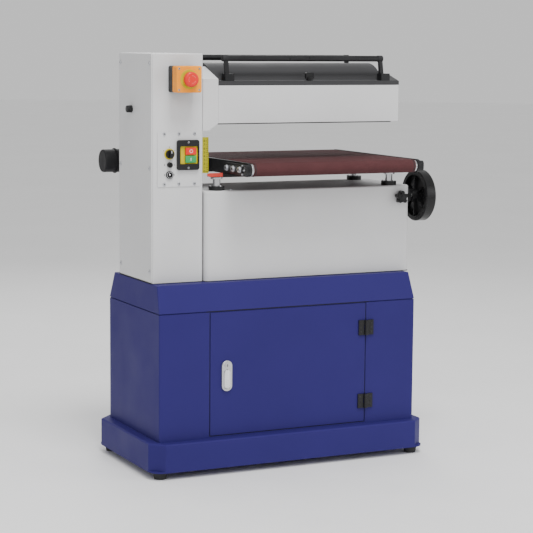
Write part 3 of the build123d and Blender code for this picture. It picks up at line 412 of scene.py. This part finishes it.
def plate(work, placing, outline, low, high, edge=0.3):
    """A thin plate whose front edge is eased."""
    size = max(max(abs(u), abs(v)) for u, v in outline)
    shrink = 1 - edge / size
    loops(work, placing, [(outline, low), (outline, high - edge), (scaled(outline, shrink), high)])


def frame_strip(work, placing, outer, inner, low, high):
    """A closed band between two outlines of the same count."""
    rows = [
        [work.verts.new(placing @ (Vector((u, v, h)) / 1000)) for u, v in ring]
        for ring, h in ((outer, low), (outer, high), (inner, high), (inner, low))
    ]
    for first, second in zip(rows, rows[1:] + rows[:1]):
        for i in range(len(first)):
            j = (i + 1) % len(first)
            work.faces.new((first[i], first[j], second[j], second[i]))


def finish_piece(name, work, material, slot, body, **options):
    made = mesh_object(name, work, MAT[material], **options)
    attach(made, body)
    return made


PANEL_Y = -117.5
SWITCH = (107.25, 837.5)

# yellow inset and printed fields behind the buttons
work = bmesh.new()
plate(work, placed((SWITCH[0], PANEL_Y - 3, SWITCH[1]), "front"), rounded(49.5, 46, 2), 0, 0.2, 0.05)
finish_piece("switch_inset", work, "yellow_paint", "yellow_paint", "frame")

work = bmesh.new()
lathed(work, placed((54, PANEL_Y, 841), "front"), ((14.5, 0), (14.5, 1.1), (14.1, 1.4)), 48)
finish_piece("mode_disc", work, "yellow_paint", "yellow_paint", "frame")

ESTOP = (87, 1034.5)
ESTOP_FRONT = -170.5
work = bmesh.new()
lathed(work, placed((ESTOP[0], ESTOP_FRONT, ESTOP[1]), "front"), ((25, 0), (25, 0.7), (24.6, 1)), 64)
finish_piece("estop_disc", work, "yellow_paint", "yellow_paint", "frame")

# ring and twist arrows on the emergency stop button, a plain bar and ring on the other two
work = bmesh.new()
head = placed((ESTOP[0], ESTOP_FRONT - 20, ESTOP[1]), "front")
for start in (20, 140, 260):
    arc = [math.radians(start + 6 * step) for step in range(12)]
    outer = [(10.4 * math.cos(turn), 10.4 * math.sin(turn)) for turn in arc]
    inner = [(9.2 * math.cos(turn), 9.2 * math.sin(turn)) for turn in reversed(arc)]
    loops(work, head, [(outer + inner, 0), (outer + inner, 0.25)])
    tip = math.radians(start + 78)
    last = arc[-1]
    arrow = [
        (11.8 * math.cos(last), 11.8 * math.sin(last)),
        (9.8 * math.cos(tip), 9.8 * math.sin(tip)),
        (7.8 * math.cos(last), 7.8 * math.sin(last)),
    ]
    loops(work, head, [(arrow, 0), (arrow, 0.25)])
finish_piece("estop_arrows", work, "faded_ink", "yellow_paint", "estop_button", smooth=False)

work = bmesh.new()
stop_face = placed((111, PANEL_Y - 10.5, 848), "front")
frame_strip(work, stop_face, ring_points(4.6, 32), ring_points(3.6, 32), 0, 0.25)
finish_piece("stop_symbol", work, "white_ink", "yellow_paint", "stop_button")

work = bmesh.new()
plate(work, placed((111, PANEL_Y - 9.5, 827), "front"), rounded(1.6, 8, 0.6), 0, 0.25, 0.05)
finish_piece("start_symbol", work, "white_ink", "yellow_paint", "start_button")

# pointer line on the mode switch
work = bmesh.new()
plate(work, placed((54, PANEL_Y - 17, 847), "front"), rounded(1.4, 7, 0.6), 0, 0.25, 0.05)
finish_piece("mode_line", work, "white_ink", "yellow_paint", "mode_switch")

# small marks round the mode switch and the two fittings under it
work = bmesh.new()
panel = placed((54, PANEL_Y, 841), "front")
for turn in (-60, 0, 60):
    spot = (18 * math.sin(math.radians(turn)), 18 * math.cos(math.radians(turn)))
    mark = [(u + spot[0], v + spot[1]) for u, v in ring_points(1.1, 16)]
    loops(work, panel, [(mark, 0), (mark, 0.25)])
for low in (813 - 841, 787 - 841):
    for side in (-1, 1):
        mark = [(u + side * 13.5, v + low) for u, v in rounded(1.2, 5, 0.4, 2)]
        loops(work, panel, [(mark, 0), (mark, 0.25)])
finish_piece("panel_marks", work, "black_paint", "black_paint", "frame", smooth=False)

# ---------------------------------------------------------------- thickness scale: lines and numbers

work = bmesh.new()
scale_face = placed((158.25, -113, 0), "front")
for step in range(18):
    height = 793 + 5 * step
    length = 8 if step % 2 == 0 else 5
    centre = 8.2 - length / 2
    line = [(centre + u, height + v) for u, v in rounded(length, 0.9, 0.3, 1)]
    loops(work, scale_face, [(line, 0), (line, 0.2)])
finish_piece("scale_lines", work, "black_paint", "black_paint", "frame", smooth=False)

for step in range(9):
    text = bpy.data.curves.new(f"scale_number_{step}", "FONT")
    text.body = str(step)
    text.size = 0.0085
    text.extrude = 0.0001
    text.align_x = "CENTER"
    text.align_y = "CENTER"
    number = bpy.data.objects.new(f"scale_number_{step}", text)
    scene.collection.objects.link(number)
    number.matrix_world = placed((154.5, -113.1, 793 + 10 * step), "front")
    bpy.context.view_layer.update()
    graph = bpy.context.evaluated_depsgraph_get()
    flat = bpy.data.meshes.new_from_object(number.evaluated_get(graph))
    flat.transform(number.matrix_world)
    bpy.data.objects.remove(number)
    solid = bpy.data.objects.new(f"scale_digit_{step}", flat)
    scene.collection.objects.link(solid)
    flat.materials.clear()
    flat.materials.append(MAT["black_paint"])
    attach(solid, "frame")

# ---------------------------------------------------------------- screw recesses and washers

CROSS = []
for turn in range(4):
    angle = math.radians(90 * turn)
    for u, v in ((0.32, 0.32), (0.32, 1.0), (-0.32, 1.0)):
        CROSS.append(
            (u * math.cos(angle) - v * math.sin(angle), u * math.sin(angle) + v * math.cos(angle))
        )


def cross_recess(work, point, facing, radius):
    outline = scaled(CROSS, radius * 0.62)
    loops(work, placed(point, facing), [(outline, -0.3), (outline, 0.08)])


# the black crosses stand slightly proud of the screw heads: painted shade of the cross recesses
work = bmesh.new()
for screw_x in (40, 81, 125):
    for screw_z in (763, 893):
        cross_recess(work, (screw_x, PANEL_Y - 2.6, screw_z), "front", 3.2)
for screw_z in (805, 871):
    cross_recess(work, (105, PANEL_Y - 9.6, screw_z), "front", 2.4)
for screw_x in (59, 115):
    for screw_z in (1007.5, 1061.5):
        cross_recess(work, (screw_x, ESTOP_FRONT - 1.5, screw_z), "front", 2.4)
for screw_y in (-103, 103):
    for screw_z in (535, 804, 1075):
        cross_recess(work, (2.8, screw_y, screw_z), "left", 3.2)
for post_x in (196, 718):
    for post_y in (-100, 100):
        for turn in (45, 165, 285):
            spot = (
                post_x + 17 * math.cos(math.radians(turn)),
                post_y + 17 * math.sin(math.radians(turn)),
                755.5,
            )
            cross_recess(work, spot, "up", 2.4)
finish_piece("screw_recess_painted_shade", work, "black_paint", "black_paint", "frame", smooth=False)

work = bmesh.new()
for screw_y in (-103, 103):
    for screw_z in (535, 804, 1075):
        lathed(work, placed((5, screw_y, screw_z), "left"), ((6.2, 0), (6.2, 0.6), (5.8, 0.9)), 28)
finish_piece("cover_washers", work, "zinc", "zinc", "frame")

# hex bolts of the table's side plates: washers, and dark hexagons on the heads as painted shade of the sockets
work = bmesh.new()
sockets = bmesh.new()
for facing, face_x, head_x in (("left", 212, 207), ("right", 742, 747)):
    for bolt_y in (-130, -170, -210):
        lathed(work, placed((face_x, bolt_y, 803), facing), ((8.8, 0), (8.8, 1.0), (8.4, 1.3)), 28)
        lathed(sockets, placed((head_x, bolt_y, 803), facing), ((3.4, -0.4), (3.4, 0.1)), 6)
finish_piece("bolt_washers", work, "zinc", "zinc", "table")
finish_piece("bolt_socket_painted_shade", sockets, "black_paint", "black_paint", "table", smooth=False)

# hinge screws on the door leaves and on the cabinet leaves
for side, body, screw_x in (("door", "door", 591), ("cabinet", "frame", 622.5)):
    work = bmesh.new()
    for low, high in ((139, 178), (341, 382)):
        for screw_z in (low + 9, (low + high) / 2, high - 9):
            head = placed((screw_x, -184, screw_z), "front")
            lathed(work, head, ((3.4, 0), (3.3, 0.5), (2.6, 1.0), (1.6, 1.15)), 24)
    finish_piece(f"hinge_screws_{side}", work, "gasket", "black_paint", body)

# ---------------------------------------------------------------- latch, door and cabinet details

work = bmesh.new()
paddle_outline = rounded(15.4, 47.4, 7.6, 8)
latch_face = placed((191, -187.1, 251), "front")
frame_strip(work, latch_face, paddle_outline, scaled(paddle_outline, 0.86), 0, 0.5)
for groove in range(4):
    grip = [(u, v - 14 + 4 * groove) for u, v in rounded(8.5, 1.3, 0.6, 3)]
    loops(work, latch_face, [(grip, -0.1), (grip, 0.35), (scaled(grip, 1.0), 0.5)])
finish_piece("paddle_ribs", work, "chrome", "chrome", "latch")

# socket core and its bright ring under the mode switch
work = bmesh.new()
lathed(work, placed((54, PANEL_Y - 3.5, 787), "front"), ((2.6, 0), (2.6, 0.9), (2.2, 1.2)), 24)
socket_face = placed((54, PANEL_Y - 4.5, 787), "front")
frame_strip(work, socket_face, ring_points(8.6, 32), ring_points(7.2, 32), 0, 0.4)
finish_piece("socket_ring", work, "chrome", "chrome", "frame")

# dark slot on the door latch: painted shade of the keyhole
work = bmesh.new()
key_outline = rounded(1.6, 7.5, 0.7, 3)
loops(work, placed((191, -186.6, 287), "front"), [(key_outline, -0.3), (key_outline, 0.1)])
finish_piece("keyhole_painted_shade", work, "gasket", "rubber", "door", smooth=False)

# dark band inside the doorway, just behind the door's gap: painted shade of the gap
work = bmesh.new()
doorway = placed((375.25, -177.4, 264.5), "front")
frame_strip(work, doorway, rounded(484, 338, 3), rounded(462, 322, 3), -1.5, -0.2)
finish_piece("door_gap_painted_shade", work, "gasket", "rubber", "frame", smooth=False)

# dark band between the hood and the column, and between the hood and the housing: painted shade of the seams
work = bmesh.new()
frame_strip(
    work, placed((78.5, 0, 503), "up"), rounded(147, 236, 6), rounded(142, 231, 4), 0, 1.6
)
frame_strip(
    work, placed((462.25, 0, 503), "up"), rounded(623, 252.5, 14), rounded(618.4, 247.9, 12), 0, 1.6
)
finish_piece("deck_seam_painted_shade", work, "gasket", "rubber", "frame")

# ---------------------------------------------------------------- handwheel grip lines, knob insert, drum and roller details

work = bmesh.new()
hub = placed((815, -100, 710), "right")
lathed(work, hub, ((12.5, 0), (12.5, 2.2), (11, 3.2), (5, 3.6)), 40)
finish_piece("wheel_cap", work, "chrome", "chrome", "handwheel")

work = bmesh.new()
for rib in range(36):
    turn = 2 * math.pi * rib / 36
    radial = Vector((0, math.cos(turn), math.sin(turn)))
    around = Vector((0, -math.sin(turn), math.cos(turn)))
    spot = at(815.5, -100, 710) + radial * 0.0707
    placing = basis(spot, radial, (1, 0, 0))
    bead = rounded(17, 3.2, 1.5, 4)
    loops(work, placing, [(bead, -0.6), (bead, 0.0), (scaled(bead, 0.9), 0.25)])
finish_piece("wheel_knurls", work, "wheel_black", "black_plastic", "handwheel")

work = bmesh.new()
lathed(work, placed((738, -148, 710), "front"), ((5.5, 0), (5.5, 0.6), (4.8, 1.0)), 28)
finish_piece("lock_knob_cap", work, "gasket", "black_plastic", "lock_knob")

work = bmesh.new()
for collar_x in (241, 712):
    lathed(work, placed((collar_x - 1, -231, 803), "right"), ((17.9, 0), (18.1, 0.6), (18.1, 1.4), (17.9, 2)), 48)
finish_piece("belt_edge_front", work, "gasket", "rubber", "table")

# overlap joint of the feed belt, a thin band across its top
work = bmesh.new()
seam_top = placed((477, -40, 820.6), "up")
seam = [(-238, -64), (-238, -70), (238, 64), (238, 70)]
loops(work, seam_top, [(seam, -0.1), (seam, 0.25)])
finish_piece("belt_joint", work, "abrasive", "abrasive", "table", smooth=False)

# rubber sleeves at the ends of the rest rails
for name, rail_y in (("front", -96), ("rear", 96)):
    work = bmesh.new()
    for end_x, facing in ((213, "left"), (692, "right")):
        cap = placed((end_x, rail_y, 1088), facing)
        lathed(work, cap, ((8.6, -14), (8.7, -13), (8.7, -1), (8.0, 0.9), (5.5, 1.8)), 36)
    finish_piece(f"rail_caps_{name}", work, "gasket", "rubber", "lid")

# raised rib along the lid's lip
work = bmesh.new()
lip = placed((465, -112.6, 1028), "up")
loops(work, lip, [(rounded(540, 3.0, 1.4), -0.2), (rounded(540, 3.0, 1.4), 0.6), (rounded(539, 2.0, 0.9), 1.0)])
finish_piece("lid_lip_rib", work, "lid_charcoal", "lid_charcoal", "lid")
